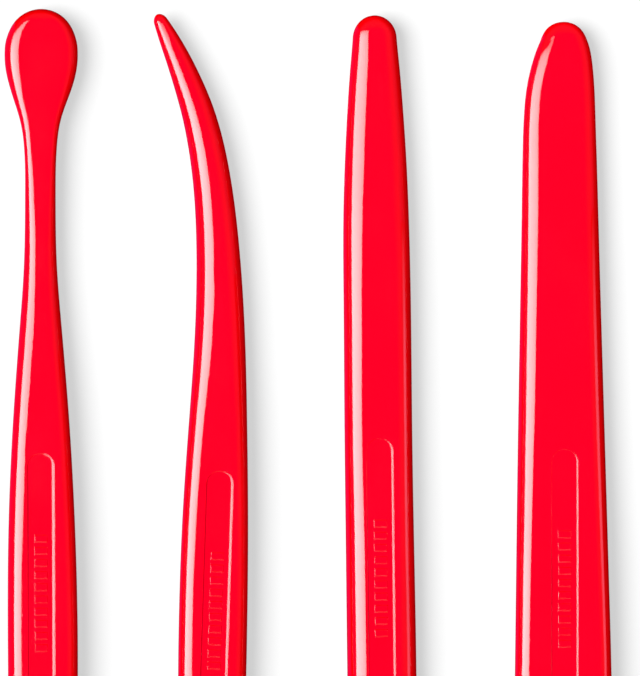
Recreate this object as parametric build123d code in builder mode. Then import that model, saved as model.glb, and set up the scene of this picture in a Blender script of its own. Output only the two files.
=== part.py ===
from build123d import *
import math
import os

os.makedirs("parts", exist_ok=True)

# Set of four double-ended plastic modelling tools lying side by side on a table.
# Millimetres. X runs across the set, Y along the tools, Z up, table at Z = 0.

# ---------------------------------------------------------------- shared sizes
handle_thickness = 5.82  # the moulding through the handle, top skin to underside
parting_height = 2.9  # the two mould halves meet here; every section mirrors about it

panel_length = 52.4  # recessed slot in the top of each handle
panel_width = 3.7
panel_depth = 0.3

mark_count = 10  # plain raised bars on the floor of the slot
mark_pitch = 1.7
mark_length = 1.75
mark_width = 0.95
mark_height = 0.16
mark_start = 11.9  # slot end to the first bar

handle_top = parting_height + handle_thickness / 2
section_steps = 8  # points round each rounded edge of a section
nose_steps = 12  # sections round each end
longest_step = 4.0  # spacing of the sections along the handle


# ---------------------------------------------------------------- shape helpers
def spline_through(xs, ys):
    """Natural cubic through the stations, for outlines and centre lines."""
    n = len(xs)
    h = [xs[i + 1] - xs[i] for i in range(n - 1)]
    diag = [1.0] * n
    rhs = [0.0] * n
    upper = [0.0] * n
    for i in range(1, n - 1):
        slope_change = (ys[i + 1] - ys[i]) / h[i] - (ys[i] - ys[i - 1]) / h[i - 1]
        lower = h[i - 1]
        upper[i] = h[i]
        factor = lower / diag[i - 1]
        diag[i] = 2 * (h[i - 1] + h[i]) - factor * upper[i - 1]
        rhs[i] = 6 * slope_change - factor * rhs[i - 1]
    bend = [0.0] * n
    for i in range(n - 2, 0, -1):
        bend[i] = (rhs[i] - upper[i] * bend[i + 1]) / diag[i]

    def value(x):
        i = 0
        while i < n - 2 and x > xs[i + 1]:
            i += 1
        a = (xs[i + 1] - x) / h[i]
        b = (x - xs[i]) / h[i]
        curve = ((a**3 - a) * bend[i] + (b**3 - b) * bend[i + 1]) * h[i] ** 2 / 6
        return a * ys[i] + b * ys[i + 1] + curve

    return value


def steady_through(xs, ys):
    """Cubic that never overshoots its stations, for thickness and edge rounding."""
    n = len(xs)
    h = [xs[i + 1] - xs[i] for i in range(n - 1)]
    d = [(ys[i + 1] - ys[i]) / h[i] for i in range(n - 1)]
    m = [0.0] * n
    for i in range(1, n - 1):
        if d[i - 1] * d[i] > 0:
            w1 = 2 * h[i] + h[i - 1]
            w2 = h[i] + 2 * h[i - 1]
            m[i] = (w1 + w2) / (w1 / d[i - 1] + w2 / d[i])

    def value(x):
        i = 0
        while i < n - 2 and x > xs[i + 1]:
            i += 1
        t = (x - xs[i]) / h[i]
        start = (1 + 2 * t) * (1 - t) ** 2 * ys[i] + t * (1 - t) ** 2 * h[i] * m[i]
        end = t**2 * (3 - 2 * t) * ys[i + 1] + t**2 * (t - 1) * h[i] * m[i + 1]
        return start + end

    return value


def closing(distance, length, power=2.0):
    """0 at the very end of a tool, rising to 1 where its rounded end is over."""
    u = min(distance / length, 1.0)
    return max(0.0, 1 - (1 - u) ** power) ** (1 / power)


def section_distances(length, nose, tail):
    """Distances from the front tip: close together round both ends."""
    out = []
    for i in range(nose_steps + 1):
        out.append(nose * (1 - math.cos(math.pi / 2 * i / nose_steps)))
    step = nose * 0.12
    while out[-1] + step < length - tail - 0.25 * step:
        out.append(out[-1] + step)
        room = length - tail - out[-1]
        step = min(step * 1.25, longest_step, max(0.35, 0.3 * room))
    for i in range(nose_steps, -1, -1):
        out.append(length - tail * (1 - math.cos(math.pi / 2 * i / nose_steps)))
    return out


def tool_body(tip_y, stations, nose, tail, edge_nose, edge_tail, nose_power=2.0, tail_power=2.0):
    """Solid from stations (distance from tip, centre x, width, thickness, edge rounding)."""
    at = [s[0] for s in stations]
    length = at[-1]
    centre = spline_through(at, [s[1] for s in stations])
    width = spline_through(at, [s[2] for s in stations])
    thickness = steady_through(at, [s[3] for s in stations])
    rounding = steady_through(at, [s[4] for s in stations])
    rows = []
    for d in section_distances(length, nose, tail):
        front = closing(d, nose, nose_power)
        back = closing(length - d, tail, tail_power)
        half = max(width(d) / 2 * front * back, 1e-6)
        rise = thickness(d) / 2 * closing(d, edge_nose) * closing(length - d, edge_tail)
        edge = (half**-4 + rounding(d) ** -4) ** -0.25
        slope = (centre(d + 0.01) - centre(d - 0.01)) / 0.02
        across = (1 / math.hypot(1, slope), slope / math.hypot(1, slope))
        profile = []
        for j in range(section_steps + 1):
            turn = math.pi / 2 * j / section_steps
            profile.append((-half + edge * (1 - math.cos(turn)), rise * math.sin(turn)))
        profile.append((-(half - edge) / 3, rise))
        mirrored = [(-x, z) for x, z in reversed(profile)]
        row = []
        for x, z in profile + mirrored:
            px = centre(d) + across[0] * x
            py = tip_y - d + across[1] * x
            row.append((px, py, parting_height + z))
        rows.append(row)
    upper = Face.make_surface_from_array_of_points(rows, tol=0.004, min_deg=3, max_deg=5)
    lower = mirror(upper, about=Plane.XY.offset(parting_height))
    return Solid(Shell([upper, *lower.faces()]))


def below_table(x, y):
    """Everything under the table top, which leaves the tool a flat underside."""
    with BuildPart() as block:
        with Locations((x, y, 0)):
            Box(60, 240, 5, align=(Align.CENTER, Align.CENTER, Align.MAX))
    return block.part


def grip_slot(x, y, tilt):
    """Round-ended pocket sunk into the top of the handle."""
    with BuildPart() as pocket:
        with BuildSketch(Plane.XY.offset(handle_top - panel_depth)):
            with Locations((x, y)):
                SlotOverall(panel_length, panel_width, rotation=90 + tilt)
        extrude(amount=panel_depth + 1)
    return pocket.part


def grip_bars(x, y, tilt):
    """Row of short bars raised from the pocket's floor, rooted 0.1 mm into it."""
    with BuildPart() as bars:
        with BuildSketch(Plane.XY.offset(handle_top - panel_depth - 0.1)):
            for i in range(mark_count):
                along = panel_length / 2 - mark_start - mark_pitch * i
                turn = math.radians(tilt)
                with Locations((x - along * math.sin(turn), y + along * math.cos(turn))):
                    Rectangle(mark_length, mark_width, rotation=tilt)
        extrude(amount=0.1 + mark_height)
    return bars.part


# -------------------------------------------------------- 1. round paddle tool
# Stations run from the paddle to the slim point at the other end:
# distance from the tip, centre x, width, thickness, reach of the rounded edge.
paddle_tip_y = 90.5
paddle_stations = [
    (0.0, -37.4, 10.3, 3.9, 2.1),
    (4.2, -37.45, 10.3, 4.0, 2.1),
    (7.2, -37.5, 10.2, 4.0, 2.1),
    (10.4, -37.5, 9.0, 4.0, 2.0),
    (13.8, -37.5, 6.75, 3.8, 1.8),
    (17.2, -37.5, 5.05, 3.6, 1.5),
    (21.5, -37.5, 4.4, 3.5, 1.35),
    (29.0, -37.55, 4.3, 3.6, 1.35),
    (41.0, -37.5, 5.15, 4.2, 1.6),
    (54.0, -37.45, 7.4, 5.3, 2.3),
    (62.0, -37.45, 8.45, handle_thickness, 2.6),
    (74.0, -37.35, 9.35, handle_thickness, 2.7),
    (88.0, -37.2, 9.85, handle_thickness, 2.7),
    (102.0, -37.15, 9.5, handle_thickness, 2.7),
    (116.0, -37.1, 8.4, handle_thickness, 2.6),
    (136.0, -37.1, 6.3, 4.6, 2.1),
    (156.0, -37.1, 4.5, 3.2, 1.5),
    (176.4, -37.1, 3.0, 2.2, 1.0),
]
with BuildPart() as round_paddle_tool:
    add(tool_body(paddle_tip_y, paddle_stations, 5.9, 1.5, 2.1, 1.1))
    add(below_table(-37.4, 0), mode=Mode.SUBTRACT)
    add(grip_slot(-37.3, 2.1, 0.2), mode=Mode.SUBTRACT)
    add(grip_bars(-37.3, 2.1, 0.2))
round_paddle_tool.part.label = "round_paddle_tool"
export_step(round_paddle_tool.part, "parts/round_paddle_tool.step")

# -------------------------------------------------------- 2. curved point tool
# Curved point at the front, flat round-ended spatula at the other end.
point_tip_y = 89.75
point_stations = [
    (0.0, -20.93, 1.6, 1.7, 1.0),
    (1.33, -20.38, 2.05, 2.1, 1.2),
    (3.0, -19.62, 2.7, 2.6, 1.5),
    (6.4, -18.12, 3.45, 3.2, 1.8),
    (9.75, -16.73, 4.1, 3.7, 2.0),
    (13.1, -15.58, 4.55, 4.0, 2.1),
    (16.5, -14.69, 4.95, 4.3, 2.2),
    (23.2, -13.52, 5.45, 4.7, 2.3),
    (33.3, -12.66, 6.1, 5.2, 2.4),
    (46.7, -12.43, 7.25, 5.7, 2.6),
    (58.0, -12.7, 8.25, handle_thickness, 2.7),
    (70.2, -13.0, 9.2, handle_thickness, 2.7),
    (83.7, -13.32, 9.65, handle_thickness, 2.7),
    (96.0, -13.55, 9.5, handle_thickness, 2.7),
    (114.0, -13.8, 8.4, handle_thickness, 2.6),
    (134.0, -14.0, 7.2, 4.4, 2.2),
    (154.0, -14.1, 6.6, 2.8, 1.7),
    (168.0, -14.1, 6.9, 1.9, 1.4),
    (180.2, -14.1, 7.3, 1.5, 1.2),
]
with BuildPart() as curved_point_tool:
    add(tool_body(point_tip_y, point_stations, 0.9, 3.2, 0.9, 1.0))
    add(below_table(-13.5, 0), mode=Mode.SUBTRACT)
    add(grip_slot(-13.15, -0.35, -1.85), mode=Mode.SUBTRACT)
    add(grip_bars(-13.15, -0.35, -1.85))
curved_point_tool.part.label = "curved_point_tool"
export_step(curved_point_tool.part, "parts/curved_point_tool.step")

# -------------------------------------------------------- 3. blunt stick tool
# Blunt round nose at the front, thin straight chisel at the other end.
stick_tip_y = 89.6
stick_stations = [
    (0.0, 9.19, 5.95, 3.6, 2.2),
    (2.8, 9.22, 6.2, 4.2, 2.4),
    (6.2, 9.26, 6.8, 4.7, 2.5),
    (13.0, 9.34, 7.75, 5.2, 2.6),
    (20.0, 9.42, 8.6, 5.6, 2.65),
    (28.0, 9.52, 9.15, handle_thickness, 2.7),
    (40.0, 9.66, 9.4, handle_thickness, 2.7),
    (58.0, 9.87, 9.5, handle_thickness, 2.7),
    (75.0, 10.07, 9.6, handle_thickness, 2.7),
    (92.0, 10.27, 9.75, handle_thickness, 2.7),
    (106.0, 10.43, 9.5, handle_thickness, 2.7),
    (124.0, 10.64, 8.9, 5.0, 2.4),
    (142.0, 10.85, 8.3, 3.2, 1.8),
    (158.0, 11.04, 7.9, 1.9, 1.3),
    (170.7, 11.19, 7.7, 1.2, 0.9),
]
with BuildPart() as blunt_stick_tool:
    add(tool_body(stick_tip_y, stick_stations, 2.9, 1.6, 2.4, 0.8, tail_power=3.0))
    add(below_table(10, 0), mode=Mode.SUBTRACT)
    add(grip_slot(10.25, 4.2, 0.65), mode=Mode.SUBTRACT)
    add(grip_bars(10.25, 4.2, 0.65))
blunt_stick_tool.part.label = "blunt_stick_tool"
export_step(blunt_stick_tool.part, "parts/blunt_stick_tool.step")

# -------------------------------------------------------- 4. broad blade tool
# Broad leaf-shaped blade at the front, narrow knife at the other end.
blade_tip_y = 88.7
blade_stations = [
    (0.0, 35.76, 5.6, 2.6, 2.2),
    (2.0, 35.76, 6.0, 3.0, 2.2),
    (3.65, 35.73, 7.2, 3.3, 2.25),
    (5.4, 35.62, 8.15, 3.6, 2.3),
    (8.0, 35.4, 9.1, 3.9, 2.35),
    (12.0, 35.22, 9.9, 4.2, 2.4),
    (17.0, 35.18, 10.4, 4.5, 2.45),
    (26.0, 35.2, 10.75, 5.0, 2.5),
    (39.0, 35.29, 11.25, 5.6, 2.6),
    (52.0, 35.4, 11.95, handle_thickness, 2.7),
    (66.0, 35.52, 12.5, handle_thickness, 2.7),
    (79.0, 35.62, 13.1, handle_thickness, 2.7),
    (92.0, 35.7, 13.6, handle_thickness, 2.7),
    (102.0, 35.68, 13.7, handle_thickness, 2.7),
    (114.0, 35.5, 13.0, handle_thickness, 2.7),
    (128.0, 35.0, 11.3, 4.6, 2.4),
    (142.0, 34.35, 9.2, 3.1, 1.9),
    (155.0, 33.55, 6.9, 2.0, 1.4),
    (166.0, 32.6, 4.4, 1.4, 1.1),
    (172.0, 31.9, 2.6, 1.1, 0.9),
]
with BuildPart() as broad_blade_tool:
    add(tool_body(blade_tip_y, blade_stations, 2.4, 1.4, 2.2, 0.8))
    add(below_table(35.5, 0), mode=Mode.SUBTRACT)
    add(grip_slot(35.85, 2.7, 0.0), mode=Mode.SUBTRACT)
    add(grip_bars(35.85, 2.7, 0.0))
broad_blade_tool.part.label = "broad_blade_tool"
export_step(broad_blade_tool.part, "parts/broad_blade_tool.step")
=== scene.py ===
import math

import bmesh
import bpy
import numpy as np
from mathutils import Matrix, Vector


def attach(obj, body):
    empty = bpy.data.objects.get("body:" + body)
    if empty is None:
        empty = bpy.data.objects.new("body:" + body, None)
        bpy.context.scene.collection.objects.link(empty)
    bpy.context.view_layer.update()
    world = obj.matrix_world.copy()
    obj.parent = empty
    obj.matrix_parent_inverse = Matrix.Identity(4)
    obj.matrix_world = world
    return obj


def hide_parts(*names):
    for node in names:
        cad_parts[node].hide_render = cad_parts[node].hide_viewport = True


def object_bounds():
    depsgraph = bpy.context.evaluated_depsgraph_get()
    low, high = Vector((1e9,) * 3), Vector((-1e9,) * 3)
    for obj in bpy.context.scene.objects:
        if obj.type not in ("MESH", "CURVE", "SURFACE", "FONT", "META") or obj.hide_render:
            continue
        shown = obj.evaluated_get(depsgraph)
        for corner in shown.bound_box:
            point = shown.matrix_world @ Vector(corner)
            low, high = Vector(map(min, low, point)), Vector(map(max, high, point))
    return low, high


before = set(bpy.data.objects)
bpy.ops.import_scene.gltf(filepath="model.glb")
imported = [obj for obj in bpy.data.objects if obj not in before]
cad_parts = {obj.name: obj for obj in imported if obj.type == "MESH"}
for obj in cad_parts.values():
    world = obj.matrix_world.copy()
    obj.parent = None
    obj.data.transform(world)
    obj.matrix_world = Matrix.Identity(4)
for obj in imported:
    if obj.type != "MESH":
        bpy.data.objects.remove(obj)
cad_low, cad_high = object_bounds()

MM = 0.001

# ------------------------------------------------------------------ sizes, in millimetres
PARTING = 2.9  # height of the mould's parting line
THICK = 5.82  # handle thickness
TOP = PARTING + THICK / 2
FLASH, FLASH_SHARE = 0.025, 0.1  # how far the parting line stands out, and at most, by half width
RIDGE_LOW, RIDGE_HIGH = 0.02, 0.05  # heights up the parting line's ridge
RIDGE_LOW_SHARE, RIDGE_HIGH_SHARE = 0.2, 0.4  # the same at most, by height of the wall
SLIVER = 1e-5  # least half width, at the very ends

SLOT_LENGTH, SLOT_WIDTH, SLOT_DEPTH = 52.4, 3.7, 0.3
LIP, LIP_FLAT = 0.05, 0.08  # radius of the slot's upper edge, and the skin kept level round it
ROOT, DRAFT = 0.045, 0.02  # radius at the foot of the slot's wall, and how far the wall leans

BARS, BAR_PITCH, BAR_START = 10, 1.7, 11.9
BAR_LENGTH, BAR_WIDTH, BAR_RISE = 1.75, 0.95, 0.16
BAR_SIDE_FOOT, BAR_SIDE_RAMP = 0.04, 0.1  # the long sides: foot outside the edge, run of the slope
BAR_END_FOOT, BAR_END_RAMP = 0.025, 0.055  # the same for the short ends

# tip: Y of the front end. nose, tail: lengths of the rounded ends in outline.
# edge_nose, edge_tail: lengths over which the thickness closes at the ends.
# slot: its centre's X and Y, and its slant in degrees.
# stations: distance from the tip, centre X, width, thickness, radius of the rounded corners
TOOLS = {
    "round_paddle": dict(
        tip=90.49,
        nose=5.6,
        tail=1.5,
        edge_nose=1.8,
        edge_tail=1.1,
        slot=(-37.3, 2.1, 0.2),
        stations=[
            (0.0, -37.37, 10.4, 3.9, 1.8),
            (3.6, -37.38, 10.05, 4.0, 1.8),
            (7.1, -37.39, 10.23, 4.0, 1.82),
            (9.9, -37.42, 9.34, 3.95, 1.7),
            (12.7, -37.48, 7.55, 3.8, 1.35),
            (15.6, -37.5, 5.69, 3.65, 1.08),
            (19.0, -37.49, 4.65, 3.5, 0.93),
            (26.0, -37.5, 4.28, 3.55, 1.2),
            (36.5, -37.49, 4.68, 3.95, 1.77),
            (43.5, -37.46, 5.7, 4.5, 2.0),
            (57.5, -37.39, 7.85, 5.5, 1.95),
            (71.5, -37.31, 9.25, THICK, 1.98),
            (88.0, -37.16, 9.8, THICK, 1.95),
            (102.0, -37.12, 9.5, THICK, 1.95),
            (116.0, -37.1, 8.4, THICK, 1.95),
            (136.0, -37.1, 6.3, 4.6, 1.8),
            (156.0, -37.1, 4.5, 3.2, 1.4),
            (176.38, -37.1, 3.0, 2.2, 1.0),
        ],
    ),
    "curved_point": dict(
        tip=89.73,
        nose=0.9,
        tail=3.2,
        edge_nose=0.9,
        edge_tail=1.0,
        slot=(-13.15, -0.35, -1.85),
        stations=[
            (0.0, -21.16, 1.6, 1.7, 1.0),
            (1.33, -20.49, 2.1, 2.2, 1.15),
            (3.0, -19.69, 2.65, 2.7, 1.4),
            (6.4, -18.14, 3.45, 3.3, 1.7),
            (9.75, -16.8, 4.04, 3.8, 2.1),
            (13.1, -15.63, 4.5, 4.2, 2.45),
            (16.5, -14.71, 4.85, 4.5, 2.8),
            (23.2, -13.5, 5.33, 4.8, 2.95),
            (33.3, -12.62, 6.06, 5.1, 2.95),
            (46.7, -12.38, 7.2, 5.4, 2.6),
            (58.0, -12.65, 8.24, 5.7, 2.15),
            (70.2, -13.0, 9.18, THICK, 2.0),
            (83.7, -13.3, 9.58, THICK, 1.97),
            (96.0, -13.5, 9.45, THICK, 1.97),
            (114.0, -13.75, 8.4, THICK, 1.95),
            (134.0, -14.0, 7.2, 4.4, 1.9),
            (154.0, -14.1, 6.6, 2.8, 1.6),
            (168.0, -14.1, 6.9, 1.9, 1.3),
            (180.15, -14.1, 7.3, 1.5, 1.1),
        ],
    ),
    "blunt_stick": dict(
        tip=89.6,
        nose=3.1,
        tail=1.6,
        edge_nose=2.2,
        edge_tail=0.8,
        tail_power=3.0,
        slot=(10.25, 4.2, 0.65),
        stations=[
            (0.0, 9.28, 6.0, 3.6, 2.2),
            (2.8, 9.3, 6.12, 4.1, 2.4),
            (6.2, 9.33, 6.7, 4.25, 2.65),
            (13.0, 9.38, 7.77, 4.3, 2.87),
            (20.0, 9.44, 8.58, 4.5, 2.95),
            (28.0, 9.5, 9.16, 4.85, 2.9),
            (40.0, 9.66, 9.42, 4.95, 2.75),
            (58.0, 9.82, 9.48, 5.2, 2.6),
            (75.0, 10.06, 9.58, THICK, 2.8),
            (92.0, 10.31, 9.68, THICK, 2.85),
            (106.0, 10.45, 9.5, THICK, 2.75),
            (124.0, 10.64, 8.9, 5.0, 2.4),
            (142.0, 10.85, 8.3, 3.2, 1.8),
            (158.0, 11.04, 7.9, 1.9, 1.3),
            (170.66, 11.19, 7.7, 1.2, 0.9),
        ],
    ),
    "broad_blade": dict(
        tip=88.69,
        nose=2.4,
        tail=1.4,
        edge_nose=2.0,
        edge_tail=0.8,
        slot=(35.85, 2.7, 0.0),
        stations=[
            (0.0, 35.72, 5.9, 2.6, 1.9),
            (2.0, 35.75, 6.15, 3.0, 2.0),
            (3.3, 35.77, 7.08, 3.3, 2.1),
            (4.7, 35.72, 7.9, 3.5, 2.15),
            (6.8, 35.55, 8.78, 3.55, 2.2),
            (9.5, 35.34, 9.53, 3.5, 2.22),
            (13.7, 35.2, 10.07, 3.5, 2.28),
            (19.0, 35.2, 10.4, 3.7, 2.4),
            (28.0, 35.26, 10.78, 3.95, 2.5),
            (39.0, 35.32, 11.27, 4.3, 2.45),
            (52.0, 35.4, 11.88, 4.7, 2.42),
            (66.0, 35.5, 12.51, 5.3, 2.27),
            (79.0, 35.61, 13.05, THICK, 2.1),
            (92.0, 35.7, 13.55, THICK, 2.05),
            (102.0, 35.68, 13.65, THICK, 2.05),
            (114.0, 35.5, 13.0, THICK, 2.05),
            (128.0, 35.0, 11.3, 4.6, 2.0),
            (142.0, 34.35, 9.2, 3.1, 1.8),
            (155.0, 33.55, 6.9, 2.0, 1.4),
            (166.0, 32.6, 4.4, 1.4, 1.1),
            (171.95, 31.9, 2.6, 1.1, 0.9),
        ],
    ),
}


# ------------------------------------------------------------------ curves
def spline_through(xs, ys):
    """Natural cubic through the stations."""
    xs, ys = np.array(xs, float), np.array(ys, float)
    n, h = len(xs), np.diff(xs)
    m = np.eye(n)
    rhs = np.zeros(n)
    for i in range(1, n - 1):
        m[i, i - 1 : i + 2] = h[i - 1], 2 * (h[i - 1] + h[i]), h[i]
        rhs[i] = 6 * ((ys[i + 1] - ys[i]) / h[i] - (ys[i] - ys[i - 1]) / h[i - 1])
    bend = np.linalg.solve(m, rhs)

    def value(x):
        i = min(max(int(np.searchsorted(xs, x)) - 1, 0), n - 2)
        a, b = (xs[i + 1] - x) / h[i], (x - xs[i]) / h[i]
        curve = ((a**3 - a) * bend[i] + (b**3 - b) * bend[i + 1]) * h[i] ** 2 / 6
        return float(a * ys[i] + b * ys[i + 1] + curve)

    return value


def steady_through(xs, ys):
    """Cubic that never overshoots its stations."""
    xs, ys = np.array(xs, float), np.array(ys, float)
    n, h = len(xs), np.diff(xs)
    d = np.diff(ys) / h
    m = np.zeros(n)
    for i in range(1, n - 1):
        if d[i - 1] * d[i] > 0:
            w1, w2 = 2 * h[i] + h[i - 1], h[i] + 2 * h[i - 1]
            m[i] = (w1 + w2) / (w1 / d[i - 1] + w2 / d[i])

    def value(x):
        i = min(max(int(np.searchsorted(xs, x)) - 1, 0), n - 2)
        t = (x - xs[i]) / h[i]
        start = (1 + 2 * t) * (1 - t) ** 2 * ys[i] + t * (1 - t) ** 2 * h[i] * m[i]
        end = t**2 * (3 - 2 * t) * ys[i + 1] + t**2 * (t - 1) * h[i] * m[i + 1]
        return float(start + end)

    return value


def closing(distance, length, power=2.0):
    """0 at the very end of a tool, rising to 1 where its rounded end is over."""
    u = min(max(distance, 0.0) / length, 1.0)
    return max(0.0, 1 - (1 - u) ** power) ** (1 / power)


def soft_least(a, b, power):
    """The lesser of two sizes, changing smoothly from one to the other."""
    return (a**-power + b**-power) ** (-1 / power)


def skin_rise(inset, wall, drop, reach):
    """Height over the parting line at a distance in from a side wall, round its corner."""
    u = min(max(inset / reach, 0.0), 1.0)
    return wall + drop * math.sqrt(max(0.0, 1 - (1 - u) ** 2))


class Tool:
    """The moulding's skin as functions of the distance from its tip."""

    SLOPE_STEP = 0.01  # half the length over which the centre line's slope is taken

    def __init__(self, spec):
        st = spec["stations"]
        at = [s[0] for s in st]
        self.length, self.tip = at[-1], spec["tip"]
        self.nose, self.tail = spec["nose"], spec["tail"]
        self.edge_nose, self.edge_tail = spec["edge_nose"], spec["edge_tail"]
        self.tail_power = spec.get("tail_power", 2.0)
        self.centre = spline_through(at, [s[1] for s in st])
        self.width = spline_through(at, [s[2] for s in st])
        self.thickness = steady_through(at, [s[3] for s in st])
        self.rounding = steady_through(at, [s[4] for s in st])
        self.slot = spec["slot"]

    def section(self, d):
        """Half width, rise over the parting line, and the corner's reach across and down."""
        front = closing(d, self.nose)
        back = closing(self.length - d, self.tail, self.tail_power)
        half = max(self.width(d) / 2 * front * back, SLIVER)
        ends = closing(d, self.edge_nose) * closing(self.length - d, self.edge_tail)
        rise = self.thickness(d) / 2
        reach = soft_least(half, self.rounding(d), 4)
        drop = soft_least(rise, self.rounding(d), 10)
        return half, rise * ends, reach, drop * ends

    def across(self, d):
        """Unit vector across the tool, square to its centre line."""
        step = self.SLOPE_STEP
        slope = (self.centre(d + step) - self.centre(d - step)) / (2 * step)
        return 1 / math.hypot(1, slope), slope / math.hypot(1, slope)

    def point(self, d, x, z):
        """Row-frame point for an offset x across and z above the parting line."""
        ax, ay = self.across(d)
        return (self.centre(d) + ax * x, self.tip - d + ay * x, PARTING + z)

    def height_at(self, px, py):
        """Skin height above the parting line over a point of the row's plane."""
        d = self.tip - py
        for _ in range(3):
            ax, ay = self.across(d)
            x = (px - self.centre(d)) * ax + (py - (self.tip - d)) * ay
            d = self.tip - py + ay * x
        half, rise, reach, drop = self.section(d)
        return skin_rise(half - abs(x), rise - drop, drop, reach)


# ------------------------------------------------------------------ rows and columns of a mesh
CORNER = 18  # columns round each rounded corner, in to the slot's window
WALL = 4  # columns up each side wall: the parting line's ridge, then the wall
SIDE = WALL + CORNER
BAR_SIDE = 0.91  # columns nearer to the slot's axis than this fit the ends of the bars
ACROSS = [0.0, 0.25, 0.5, 0.7, 0.836, 0.846, 0.86, 0.885, 0.9, BAR_SIDE, 1.2, 1.45, 1.7]
ACROSS = [-q for q in ACROSS[:0:-1]] + ACROSS  # columns over the window
EDGE = ACROSS[-1]
K = len(ACROSS) - 1

SPREAD = 0.35  # weight of distance against turn when a corner's columns are shared out
WINDOW_HALF, WINDOW_SHARE = 2.3, 0.56  # half the window's width, and at most, by half width
SHIFT_SHARE = 0.2  # how far the window may leave the centre line, by half width
SHIFT_WHOLE, SHIFT_NONE = 32.0, 62.0  # from the slot's middle: it follows the slot, and not at all
BAR_SHARE = 0.6  # most of the floor's half width that BAR_SIDE may take

NOSE_ROWS, TAIL_ROWS, BACK_ROWS = 20, 16, 75
FIRST_ROW, FIRST_SHARE = 0.12, 0.075  # first step behind the nose: least, and by nose
ROW_GROWTH = 1.18  # from one step to the next, up to the slot
LONGEST_ROW = 1.1
EVEN_ROWS, ROW_LESS, ROW_LEAST = 60, 0.06, 0.15  # behind the slot: even steps, then shorter ones
WINDOW_GAP = 0.5  # from the slot's ends to the ends of the window it sits in
ARC_ROWS, ARC_MARGIN = 9, 0.2  # rows over each round end of the slot, and their overlap
BAR_ROWS = (-0.11, -0.05, -0.01, 0.04, 0.1)  # rows at a bar's long side, from its foot inwards


def bar_lines():
    """Distances along the slot, from its front end, of the rows that shape the raised bars."""
    out = []
    w = BAR_WIDTH / 2
    for i in range(BARS):
        c = BAR_START + BAR_PITCH * i
        out += [c - w + s for s in BAR_ROWS] + [c] + [c + w - s for s in reversed(BAR_ROWS)]
    return out


def bar_profile(along, q):
    """0 on the slot's floor and 1 on top of a bar, with soft shoulders."""
    i = round((along - BAR_START) / BAR_PITCH)
    if not 0 <= i < BARS:
        return 0.0
    da = abs(along - BAR_START - BAR_PITCH * i)
    u = min(max((BAR_WIDTH / 2 + BAR_SIDE_FOOT - da) / BAR_SIDE_RAMP, 0.0), 1.0)
    v = min(max((BAR_LENGTH / 2 + BAR_END_FOOT - abs(q)) / BAR_END_RAMP, 0.0), 1.0)
    return math.sin(math.pi / 2 * u) * math.sin(math.pi / 2 * v)


def round_end(length, n):
    """Distances from an end to where its rounding is over, closer together at the end."""
    return [length * (1 - math.cos(math.pi / 2 * i / n)) for i in range(n + 1)]


def station_rows(t):
    """Distances of the mesh's rows, and the two rows that bound the slot's window."""
    r = SLOT_WIDTH / 2
    begin = t.tip - (t.slot[1] + SLOT_LENGTH / 2)  # distance of the slot's front end
    end = begin + SLOT_LENGTH
    # the nose, then steps that lengthen up to the window
    rows = round_end(t.nose, NOSE_ROWS)
    step = max(t.nose * FIRST_SHARE, FIRST_ROW)
    while rows[-1] + step < begin - 1.5 * WINDOW_GAP:
        rows.append(rows[-1] + step)
        step = min(step * ROW_GROWTH, LONGEST_ROW)
    rows[-1] = begin - WINDOW_GAP
    first = len(rows) - 1
    # the slot: its round ends, its bars, and no gap longer than LONGEST_ROW
    inner = list(np.linspace(begin - ARC_MARGIN, begin + r + ARC_MARGIN, ARC_ROWS))
    inner += [begin + b for b in bar_lines()]
    inner += list(np.linspace(end - r - ARC_MARGIN, end + ARC_MARGIN, ARC_ROWS))
    inner.sort()
    rows.append(inner[0])
    for v in inner[1:]:
        gap = v - rows[-1]
        parts = max(1, math.ceil(gap / LONGEST_ROW))
        rows += [rows[-1] + gap * k / parts for k in range(1, parts + 1)]
    rows.append(end + WINDOW_GAP)
    last = len(rows) - 1
    # the back part, with steps that shorten towards the tail
    span = t.length - t.tail - rows[last]
    late = [max(0, i - EVEN_ROWS) for i in range(BACK_ROWS)]
    weights = np.cumsum([max(ROW_LEAST, 1.0 - n * ROW_LESS) for n in late])
    rows += [rows[last] + span * w / weights[-1] for w in weights[:-1]]
    rows += [t.length - v for v in reversed(round_end(t.tail, TAIL_ROWS))]
    return rows, first, last


def side_offsets(edge, reach):
    """Offsets in from the side wall to reach, evenly shared between turn and distance."""
    o = reach * (1 - np.cos(np.linspace(0, math.pi / 2, 400)))
    u = np.clip(o / edge, 0, 1)
    turn = np.arccos(1 - u) / (math.pi / 2)
    measure = turn + SPREAD * o / reach
    return np.interp(np.linspace(0, measure[-1], CORNER + 1), measure, o)


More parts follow.
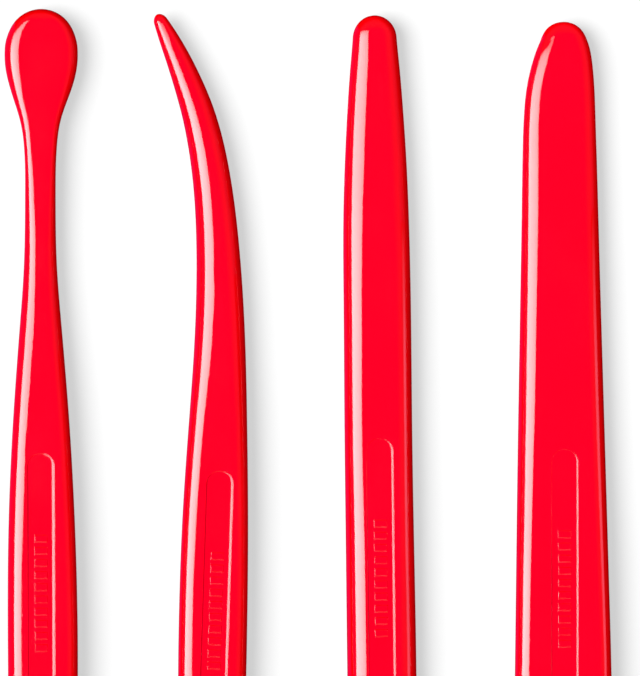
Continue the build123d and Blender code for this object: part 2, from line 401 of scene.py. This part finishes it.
def ring_points(t, d):
    """Offset across and height over the parting line of a row's points, left to right."""
    half, rise, reach, drop = t.section(d)
    sx, sy, tilt = t.slot
    along = t.tip - d - sy  # from the slot's middle

    # the window's half width, and how far it is off the centre line to follow the slot
    w = soft_least(WINDOW_HALF, WINDOW_SHARE * half, 8)
    axis = sx - along * math.tan(math.radians(tilt)) - t.centre(d)
    near = min(max((SHIFT_NONE - abs(along)) / (SHIFT_NONE - SHIFT_WHOLE), 0.0), 1.0)
    shift = axis * near * near * (3 - 2 * near)
    shift = max(-SHIFT_SHARE * half, min(SHIFT_SHARE * half, shift))

    wall = rise - drop
    flash = min(FLASH, FLASH_SHARE * half)
    body_half = half - flash

    def crown(x):
        return skin_rise(body_half - abs(x), wall, drop, reach)

    # the parting line's ridge and the side wall: offset in, height
    low = min(RIDGE_LOW, RIDGE_LOW_SHARE * wall)
    high = min(RIDGE_HIGH, RIDGE_HIGH_SHARE * wall)
    spots = [(0.0, 0.0), (0.6 * flash, low), (flash, high), (flash, 0.7 * wall)]
    left = [(-half + o, z) for o, z in spots]
    right = [(half - o, z) for o, z in spots]
    for o in side_offsets(reach, body_half - w + shift):
        left.append((-body_half + o, crown(-body_half + o)))
    for o in side_offsets(reach, body_half - w - shift):
        right.append((body_half - o, crown(body_half - o)))
    inner = [shift + w * q / EDGE for q in ACROSS[1:-1]]
    return left + [(x, crown(x)) for x in inner] + right[::-1]


# ------------------------------------------------------------------ the slot's outline
def slot_marks(t, rows, first, last):
    """Where each point of the window's border lands on the slot, and the rows over its ends."""
    half = SLOT_LENGTH / 2 - SLOT_WIDTH / 2
    begin = t.tip - (t.slot[1] + SLOT_LENGTH / 2)
    alongs = [SLOT_LENGTH / 2 - (rows[r] - begin) for r in range(first, last + 1)]
    front_rows = sum(1 for a in alongs if a > half)
    back_rows = sum(1 for a in alongs if a < -half)
    n = last - first
    sides = []
    for i, a in enumerate(alongs):
        if i < front_rows:
            sides.append(("arc_front", i / front_rows))
        elif i > n - back_rows:
            sides.append(("arc_back", (n - i) / back_rows))
        else:
            sides.append(("run", a))
    ends = [q / EDGE for q in ACROSS]
    return (ends[:-1], sides[:0:-1], ends[:0:-1], sides[:-1]), front_rows, back_rows


def slot_outline(t, grow, marks):
    """Closed loop round the slot in the order of the window's border, grown outwards."""
    sx, sy, tilt = t.slot
    r = SLOT_WIDTH / 2 + grow
    half = SLOT_LENGTH / 2 - SLOT_WIDTH / 2
    turn = math.radians(tilt)
    front, left, back, right = marks

    def place(along, q):
        return (
            sx + q * math.cos(turn) - along * math.sin(turn),
            sy + q * math.sin(turn) + along * math.cos(turn),
        )

    def end_point(v, direction):
        a = math.radians(45) * v
        return place(direction * half + direction * r * math.cos(a), r * math.sin(a))

    def side_point(mark, side):
        mode, w = mark
        if mode == "run":
            return place(w, side * r)
        direction = 1 if mode == "arc_front" else -1
        a = math.radians(45 + 45 * w)
        return place(direction * half + direction * r * math.cos(a), side * r * math.sin(a))

    loop = [end_point(v, 1) for v in front]
    loop += [side_point(v, 1) for v in right]
    loop += [end_point(v, -1) for v in back]
    loop += [side_point(v, -1) for v in left]
    return loop


def slot_loops(t, border, marks):
    """Loops of points from the window's border over the lip and down to the slot's floor."""

    def skin_loop(grow, drop=0.0):
        pts = slot_outline(t, grow, marks)
        return [(x, y, PARTING + t.height_at(x, y) - drop) for x, y in pts]

    def level_loop(grow, z):
        return [(x, y, z) for x, y in slot_outline(t, grow, marks)]

    outer = skin_loop(LIP + LIP_FLAT)
    loops = []
    for k in (1, 2):
        mixed = []
        for b, p in zip(border, outer):
            x = b.co.x / MM + (p[0] - b.co.x / MM) * k / 3
            y = b.co.y / MM + (p[1] - b.co.y / MM) * k / 3
            mixed.append((x, y, PARTING + t.height_at(x, y)))
        loops.append(mixed)
    loops.append(outer)
    for a in (0, 22.5, 45, 67.5, 90):
        a = math.radians(a)
        loops.append(skin_loop(LIP * (1 - math.sin(a)), LIP * (1 - math.cos(a))))
    floor_z = TOP - SLOT_DEPTH
    for a in (0, 30, 60, 90):
        a = math.radians(a)
        shrink = -DRAFT - ROOT * (1 - math.cos(a))
        loops.append(level_loop(shrink, floor_z + ROOT * (1 - math.sin(a))))
    return loops


# ------------------------------------------------------------------ mesh of one tool
def build_tool(name, spec):
    t = Tool(spec)
    rows, first, last = station_rows(t)
    bm = bmesh.new()

    def vert(x, y, z):
        return bm.verts.new((x * MM, y * MM, max(z, 0.0) * MM))

    def quad(*vs):
        seen = []
        for v in vs:
            if v not in seen:
                seen.append(v)
        if len(seen) > 2:
            bm.faces.new(seen)

    # ---- rings round the body; the underside mirrors the top about the parting line
    columns = 2 * SIDE + K
    top, under = [], []
    for r, d in enumerate(rows):
        if r in (0, len(rows) - 1):
            v = vert(*t.point(d, 0.0, 0.0))
            top.append([v] * (columns + 1))
            under.append([v] * (columns + 1))
            continue
        ring_top, ring_low = [], []
        for j, (x, z) in enumerate(ring_points(t, d)):
            if j in (0, columns):
                v = vert(*t.point(d, x, 0.0))
                ring_top.append(v)
                ring_low.append(v)
                continue
            inside_window = first < r < last and SIDE < j < SIDE + K
            ring_top.append(None if inside_window else vert(*t.point(d, x, z)))
            ring_low.append(vert(*t.point(d, x, -z)))
        top.append(ring_top)
        under.append(ring_low)

    for r in range(len(rows) - 1):
        for j in range(columns):
            if not (first <= r < last and SIDE <= j < SIDE + K):
                quad(top[r][j], top[r + 1][j], top[r + 1][j + 1], top[r][j + 1])
            quad(under[r][j + 1], under[r + 1][j + 1], under[r + 1][j], under[r][j])

    # ---- the recessed slot: loops from the window's border in to the floor
    border = [top[first][SIDE + k] for k in range(K)]
    border += [top[r][SIDE + K] for r in range(first, last)]
    border += [top[last][SIDE + k] for k in range(K, 0, -1)]
    border += [top[r][SIDE] for r in range(last, first, -1)]
    marks, front_rows, back_rows = slot_marks(t, rows, first, last)
    previous = border
    for pts in slot_loops(t, border, marks):
        current = [vert(*p) for p in pts]
        n = len(current)
        for i in range(n):
            quad(previous[i], previous[(i + 1) % n], current[(i + 1) % n], current[i])
        previous = current

    # ---- the floor: a grid blended from the last loop, with the raised bars in it
    n = last - first
    front = previous[: K + 1]
    right = previous[K : K + n + 1]
    back = previous[K + n : 2 * K + n + 1][::-1]
    left = (previous[2 * K + n :] + [previous[0]])[::-1]
    grid = [[None] * (K + 1) for _ in range(n + 1)]
    grid[0], grid[n] = list(front), list(back)
    for i in range(n + 1):
        grid[i][0], grid[i][K] = left[i], right[i]

    def flat(v):
        return np.array([v.co.x, v.co.y]) / MM

    sx, sy, tilt = t.slot
    turn = math.radians(tilt)
    for i in range(1, n):
        lhs, rhs = flat(left[i]), flat(right[i])
        half_floor = np.linalg.norm(rhs - lhs) / 2
        core = min(BAR_SIDE, BAR_SHARE * half_floor)
        fade_front = max(0.0, 1 - i / (front_rows + 2)) ** 2
        fade_back = max(0.0, 1 - (n - i) / (back_rows + 2)) ** 2
        for j in range(1, K):
            out = abs(ACROSS[j])
            if out > BAR_SIDE:
                out = core + (half_floor - core) * (out - BAR_SIDE) / (EDGE - BAR_SIDE)
            else:
                out *= core / BAR_SIDE
            u = 0.5 + math.copysign(out, ACROSS[j]) / (2 * half_floor)
            at_front = flat(front[j]) - ((1 - u) * flat(front[0]) + u * flat(front[K]))
            at_back = flat(back[j]) - ((1 - u) * flat(back[0]) + u * flat(back[K]))
            p = (1 - u) * lhs + u * rhs + at_front * fade_front + at_back * fade_back
            along = -(p[0] - sx) * math.sin(turn) + (p[1] - sy) * math.cos(turn)
            q = (p[0] - sx) * math.cos(turn) + (p[1] - sy) * math.sin(turn)
            rise = BAR_RISE * bar_profile(SLOT_LENGTH / 2 - along, q)
            grid[i][j] = vert(p[0], p[1], TOP - SLOT_DEPTH + rise)
    for i in range(n):
        for j in range(K):
            quad(grid[i][j], grid[i + 1][j], grid[i + 1][j + 1], grid[i][j + 1])

    bm.normal_update()
    bmesh.ops.recalc_face_normals(bm, faces=bm.faces[:])
    mesh = bpy.data.meshes.new(name)
    bm.to_mesh(mesh)
    bm.free()
    mesh.polygons.foreach_set("use_smooth", [True] * len(mesh.polygons))
    obj = bpy.data.objects.new(name, mesh)
    bpy.context.scene.collection.objects.link(obj)
    return obj


# ------------------------------------------------------------------ materials
def new_material(name):
    m = bpy.data.materials.new(name)
    m.use_nodes = True
    nodes, links = m.node_tree.nodes, m.node_tree.links
    return m, nodes, links, nodes["Principled BSDF"]


def grey(v):
    return (v, v, v)


def colour_ramp(nodes, points):
    """Colour ramp through points of position and colour."""
    ramp = nodes.new("ShaderNodeValToRGB")
    ends = ramp.color_ramp.elements
    ends[0].position, ends[0].color = points[0][0], (*points[0][1], 1)
    ends[1].position, ends[1].color = points[-1][0], (*points[-1][1], 1)
    for position, colour in points[1:-1]:
        ends.new(position).color = (*colour, 1)
    return ramp


def red_plastic():
    """High-gloss moulded plastic: uneven pigment and gloss, faint flow waves and pits."""
    m, nodes, links, bsdf = new_material("gloss_red_plastic")
    bsdf.inputs["IOR"].default_value = 1.5
    coord = nodes.new("ShaderNodeTexCoord")

    def noise(scale, detail):
        n = nodes.new("ShaderNodeTexNoise")
        n.inputs["Scale"].default_value = scale
        n.inputs["Detail"].default_value = detail
        links.new(coord.outputs["Object"], n.inputs["Vector"])
        return n

    def ramp(source, points):
        r = colour_ramp(nodes, points)
        links.new(source, r.inputs["Fac"])
        return r

    def bump(source, strength, distance):
        b = nodes.new("ShaderNodeBump")
        b.inputs["Strength"].default_value = strength
        b.inputs["Distance"].default_value = distance
        links.new(source, b.inputs["Height"])
        return b

    # pigment: barely uneven, as in a mass-coloured moulding
    tint = noise(60, 3)
    dark, light = (0.80, 0.0002, 0.0012), (0.88, 0.0002, 0.0026)
    colour = ramp(tint.outputs["Fac"], [(0.35, dark), (0.7, light)])
    links.new(colour.outputs["Color"], bsdf.inputs["Base Color"])

    # gloss: duller in drifting patches
    patch = noise(140, 4)
    gloss = ramp(patch.outputs["Fac"], [(0.4, grey(0.03)), (0.75, grey(0.065))])
    links.new(gloss.outputs["Color"], bsdf.inputs["Roughness"])

    # flow waves, and small pits
    wave = noise(75, 1)
    wave_bump = bump(wave.outputs["Fac"], 0.35, 0.00006)
    speck = nodes.new("ShaderNodeTexVoronoi")
    speck.inputs["Scale"].default_value = 420
    links.new(coord.outputs["Object"], speck.inputs["Vector"])
    pits = ramp(speck.outputs["Distance"], [(0.0, grey(0)), (0.09, grey(1))])
    pit_bump = bump(pits.outputs["Color"], 0.12, 0.00004)
    links.new(wave_bump.outputs["Normal"], pit_bump.inputs["Normal"])
    links.new(pit_bump.outputs["Normal"], bsdf.inputs["Normal"])
    return m


def floor_material():
    """Matt white table that glows a little, so that only the shadow is grey."""
    m, nodes, links, bsdf = new_material("floor_pale")
    bsdf.inputs["Roughness"].default_value = 0.9
    bsdf.inputs["Specular IOR Level"].default_value = 0.0
    bsdf.inputs["Emission Color"].default_value = (1, 1, 1, 1)
    bsdf.inputs["Emission Strength"].default_value = 0.275
    n = nodes.new("ShaderNodeTexNoise")
    n.inputs["Scale"].default_value = 3.0
    r = colour_ramp(nodes, [(0.0, grey(0.47)), (1.0, grey(0.48))])
    links.new(n.outputs["Fac"], r.inputs["Fac"])
    links.new(r.outputs["Color"], bsdf.inputs["Base Color"])
    return m


# ------------------------------------------------------------------ build the tools
plastic = red_plastic()
for body, spec in TOOLS.items():
    node = body + "_tool"
    piece = build_tool(body + "_skin", spec)
    piece.data.materials.append(plastic)
    piece.visible_diffuse = False  # no red cast on the floor
    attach(piece, body)
    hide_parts(node)

# ------------------------------------------------------------------ floor
FLOOR_SPAN, FLOOR_Z = 20.0, -0.00002  # metres: half its side, and its height, just under the tools
floor_mesh = bpy.data.meshes.new("floor")
corners = [(-1, -1), (1, -1), (1, 1), (-1, 1)]
floor_mesh.from_pydata(
    [(x * FLOOR_SPAN, y * FLOOR_SPAN, FLOOR_Z) for x, y in corners], [], [(0, 1, 2, 3)]
)
floor = bpy.data.objects.new("floor", floor_mesh)
bpy.context.scene.collection.objects.link(floor)
floor.data.materials.append(floor_material())
floor.visible_glossy = False
floor.visible_diffuse = False

# ------------------------------------------------------------------ light, in metres
middle = (Vector(cad_low) + Vector(cad_high)) / 2
PANEL_STEPS = 24
KEY_LEVEL, KEY_FALL = 17.5, 7.5  # low down, and how much is lost on the way up
KEY_SIDE = 0.72  # share lost at both sides
REAR_LEVEL, HAZE_LEVEL, FILL_LEVEL = 3.0, 0.42, 2.3


def lit_panel(name, corner, along, up, colour, level):
    """Panel seen only in reflections; level(f, g) is its brightness along and up it."""
    n = PANEL_STEPS
    spots = [(i / n, j / n) for i in range(n + 1) for j in range(n + 1)]
    faces = []
    for i in range(n):
        for j in range(n):
            k = i * (n + 1) + j
            faces.append((k, k + 1, k + n + 2, k + n + 1))
    mesh = bpy.data.meshes.new(name)
    mesh.from_pydata([tuple(corner + along * f + up * g) for f, g in spots], [], faces)
    shade = mesh.color_attributes.new("level", "FLOAT_COLOR", "POINT")
    for k, (f, g) in enumerate(spots):
        v = level(f, g)
        shade.data[k].color = (v * colour[0], v * colour[1], v * colour[2], 1)
    obj = bpy.data.objects.new(name, mesh)
    bpy.context.scene.collection.objects.link(obj)
    mat = bpy.data.materials.new(name)
    mat.use_nodes = True
    nodes, links = mat.node_tree.nodes, mat.node_tree.links
    nodes.clear()
    attr = nodes.new("ShaderNodeAttribute")
    attr.attribute_name = "level"
    emit = nodes.new("ShaderNodeEmission")
    out = nodes.new("ShaderNodeOutputMaterial")
    links.new(attr.outputs["Color"], emit.inputs["Color"])
    links.new(emit.outputs["Emission"], out.inputs["Surface"])
    mesh.materials.append(mat)
    obj.visible_camera = False
    obj.visible_diffuse = False
    obj.visible_shadow = False
    return obj


def facing(zenith, distance):
    """Point to the left of the tools at a zenith angle in degrees."""
    a = math.radians(zenith)
    return Vector((middle.x - distance * math.sin(a), middle.y, 0.003 + distance * math.cos(a)))


def left_panel(name, low, high, distance, colour, level):
    """Panel to the left of the tools, between two zenith angles."""
    foot, head = facing(low, distance), facing(high, distance)
    start = foot + Vector((0, -LEFT_WIDE / 2, 0))
    return lit_panel(name, start, Vector((0, LEFT_WIDE, 0)), head - foot, colour, level)


def key_level(f, g):
    """Strongest low down and in the middle."""
    side = abs(2 * f - 1)
    return (KEY_LEVEL - KEY_FALL * g**2) * (1 - KEY_SIDE * side**1.5)


def fill_level(f, g):
    """Soft at both ends and above."""
    ends = min(1.0, f * 4, (1 - f) * 6)
    return FILL_LEVEL * ends * math.sin(math.pi * min(1.0, 0.12 + g * 0.88))


# the key: the long highlight on the left of every tool
LEFT_WIDE = 1.0
KEY_LOW, KEY_HIGH = 64.0, 6.0
key_reach = 1 / math.cos(math.radians((KEY_LOW - KEY_HIGH) / 2))
left_panel("key_panel", KEY_LOW, KEY_HIGH, key_reach, (1.0, 0.965, 1.0), key_level)

# behind the tools: the lower edges of the raised bars
lit_panel(
    "rear_panel",
    Vector((middle.x - 0.5, middle.y - 0.95, 0.3)),
    Vector((1.0, 0, 0)),
    Vector((0, 0.35, 0.5)),
    (1.0, 0.75, 0.85),
    lambda f, g: REAR_LEVEL * math.sin(math.pi * g),
)

# a faint crimson haze below the key, in the side walls
HAZE_LOW, HAZE_HIGH = 150, 66
left_panel("haze_panel", HAZE_LOW, HAZE_HIGH, 1.0, (0.8, 0.05, 1.0), lambda f, g: HAZE_LEVEL)

# the fill: a faint streak on the right of the two right-hand tools
FILL_X, FILL_LOW, FILL_HIGH = 0.15, 0.015, 0.075
FILL_BACK, FILL_FRONT = -0.07, 0.068
fill = lit_panel(
    "fill_panel",
    Vector((FILL_X, FILL_BACK, FILL_LOW)),
    Vector((0, FILL_FRONT - FILL_BACK, 0)),
    Vector((0, 0, FILL_HIGH - FILL_LOW)),
    (1.0, 0.65, 1.0),
    fill_level,
)
right_pair = bpy.data.collections.new("right_pair")
for name in ("blunt_stick_skin", "broad_blade_skin"):
    right_pair.objects.link(bpy.data.objects[name])
fill.light_linking.receiver_collection = right_pair

# the sun: soft shadows to the right
SUN_ZENITH, SUN_ANGLE = 32, 42  # degrees
SUN_ON_FLOOR = 1.04  # its light on a white surface that faces it
sun_data = bpy.data.lights.new("soft_sun", "SUN")
sun_data.energy = SUN_ON_FLOOR * math.pi
sun_data.angle = math.radians(SUN_ANGLE)
sun_data.cycles.use_multiple_importance_sampling = False
sun = bpy.data.objects.new("soft_sun", sun_data)
bpy.context.scene.collection.objects.link(sun)
sun.rotation_euler = (0, math.radians(-SUN_ZENITH), 0)
sun.visible_glossy = False

# the sky: white behind everything, dim and crimson in reflections, pale for soft light
world = bpy.data.worlds.new("studio")
bpy.context.scene.world = world
world.use_nodes = True
world.cycles.sampling_method = "NONE"
wn, wl = world.node_tree.nodes, world.node_tree.links
back = wn["Background"]
coord = wn.new("ShaderNodeTexCoord")
sep = wn.new("ShaderNodeSeparateXYZ")
wl.new(coord.outputs["Generated"], sep.inputs["Vector"])
lift = wn.new("ShaderNodeMapRange")
lift.inputs["From Min"].default_value = -1.0
lift.inputs["From Max"].default_value = 1.0
wl.new(sep.outputs["Z"], lift.inputs["Value"])
path = wn.new("ShaderNodeLightPath")


def sky(points):
    """Colour by height: 0 straight down, 0.5 at the horizon, 1 overhead."""
    ramp = colour_ramp(wn, points)
    wl.new(lift.outputs["Result"], ramp.inputs["Fac"])
    return ramp.outputs["Color"]


def mix_by(ray):
    """Mix node that gives B to one kind of ray and A to the others."""
    mix = wn.new("ShaderNodeMix")
    mix.data_type = "RGBA"
    wl.new(path.outputs[ray], mix.inputs["Factor"])
    return mix


shine = sky(
    [
        (0.0, (0.005, 0.001, 0.004)),
        (0.5, (0.005, 0.001, 0.004)),
        (0.53, (0.12, 0.04, 0.12)),
        (0.7, (0.3, 0.1, 0.3)),
        (0.87, (0.3, 0.07, 0.35)),
        (0.96, (0.1, 0.0, 0.45)),
        (1.0, (0.1, 0.0, 0.45)),
    ]
)
glow = sky([(0.0, grey(0.06)), (0.49, grey(0.1)), (0.53, grey(0.74)), (1.0, grey(0.74))])
mix_glow = mix_by("Is Diffuse Ray")
wl.new(shine, mix_glow.inputs["A"])
wl.new(glow, mix_glow.inputs["B"])
mix_seen = mix_by("Is Camera Ray")
wl.new(mix_glow.outputs["Result"], mix_seen.inputs["A"])
mix_seen.inputs["B"].default_value = (1.0, 1.0, 1.0, 1.0)
wl.new(mix_seen.outputs["Result"], back.inputs["Color"])
back.inputs["Strength"].default_value = 1.0

# ------------------------------------------------------------------ camera, straight down
VIEW_HEIGHT = 0.09464  # metres of table in the frame's height
SENSOR = 36.0
RISE = 1.5  # over the parting line
RIGHT, BACK = 0.00169, 0.04607  # right of the set's middle, and back from its front end
cam_data = bpy.data.cameras.new("camera")
cam_data.sensor_width = SENSOR
cam_data.sensor_fit = "AUTO"
cam_data.lens = SENSOR * RISE / VIEW_HEIGHT
cam_data.clip_start, cam_data.clip_end = 0.05, 50.0
camera = bpy.data.objects.new("camera", cam_data)
bpy.context.scene.collection.objects.link(camera)
camera.location = (middle.x + RIGHT, cad_high[1] - BACK, RISE + PARTING * MM)
camera.rotation_euler = (0, 0, 0)
bpy.context.scene.camera = camera

bpy.context.scene.view_settings.view_transform = "Standard"
bpy.context.scene.view_settings.look = "None"
